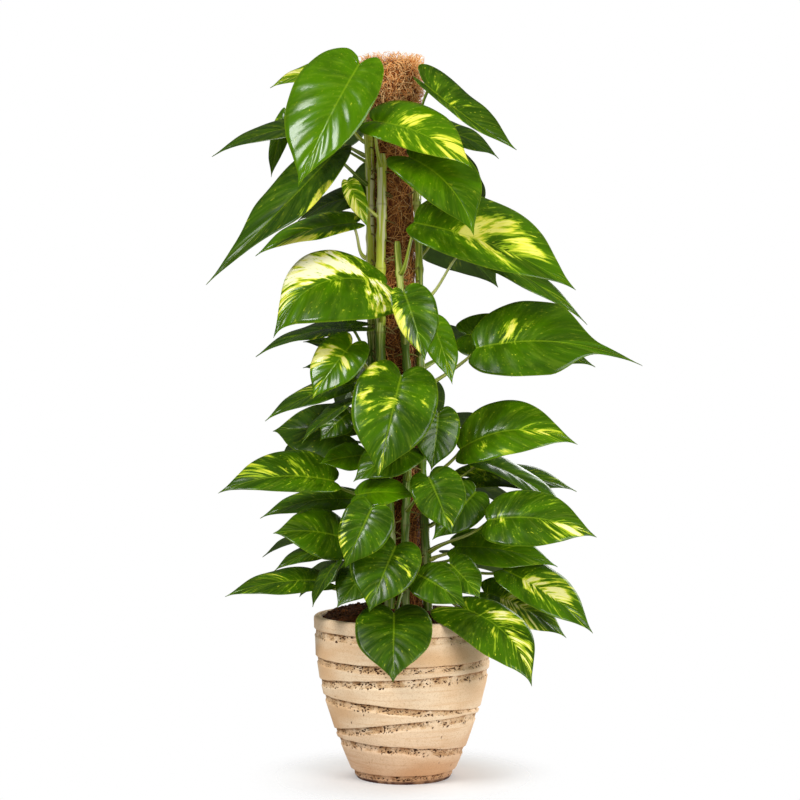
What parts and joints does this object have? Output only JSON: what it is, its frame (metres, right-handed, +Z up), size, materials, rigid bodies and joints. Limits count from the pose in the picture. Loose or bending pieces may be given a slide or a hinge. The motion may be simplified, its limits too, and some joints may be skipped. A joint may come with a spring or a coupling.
{
  "type": "potted golden pothos on a coir pole",
  "caption": "Variegated climbing pothos trained up a coir-wrapped pole in a cream stoneware pot with overlapping slab bands, filled with dark potting soil.",
  "frame": {"origin": "centre of the pot's foot, on the surface that it stands on, under the pot's axis", "axes": "+Z up along the pot's axis; the viewer of the picture stands on the -Y side, with +X to the right"},
  "size_m": [0.5101, 0.3348, 0.8636],
  "materials": {
    "stoneware": "matte cream stoneware with pitted brown edges",
    "potting_soil": "loose, matt and slightly moist",
    "coir": "matted coconut fibre",
    "stake_wood": "plain sawn wood",
    "stem": "satin green with cream stripes",
    "leaf": "waxy green with yellow and cream variegation"
  },
  "bodies": {
    "root": {"pot": "stoneware", "soil": "potting_soil", "coir_wrap": "coir", "stake": "stake_wood", "vine_left": "stem", "vine_front_left": "stem", "vine_front": "stem", "vine_right": "stem", "vine_back_right": "stem", "vine_back_left": "stem", "leaf_01": "leaf", "leaf_02": "leaf", "leaf_03": "leaf", "leaf_04": "leaf", "leaf_05": "leaf", "leaf_06": "leaf", "leaf_07": "leaf", "leaf_08": "leaf", "leaf_09": "leaf", "leaf_10": "leaf", "leaf_11": "leaf", "leaf_12": "leaf", "leaf_13": "leaf", "leaf_14": "leaf", "leaf_15": "leaf", "leaf_16": "leaf", "leaf_17": "leaf", "leaf_18": "leaf", "leaf_19": "leaf", "leaf_20": "leaf", "leaf_21": "leaf", "leaf_22": "leaf", "leaf_23": "leaf", "leaf_24": "leaf", "leaf_25": "leaf", "leaf_26": "leaf", "leaf_27": "leaf", "leaf_28": "leaf", "leaf_29": "leaf", "leaf_30": "leaf", "leaf_31": "leaf", "leaf_32": "leaf", "leaf_33": "leaf", "leaf_34": "leaf", "leaf_35": "leaf", "leaf_36": "leaf", "leaf_37": "leaf", "leaf_38": "leaf", "leaf_39": "leaf", "leaf_40": "leaf", "leaf_41": "leaf", "leaf_42": "leaf", "leaf_43": "leaf", "leaf_44": "leaf", "leaf_45": "leaf", "leaf_46": "leaf", "leaf_47": "leaf", "leaf_48": "leaf", "leaf_49": "leaf"}
  },
  "joints": []
}
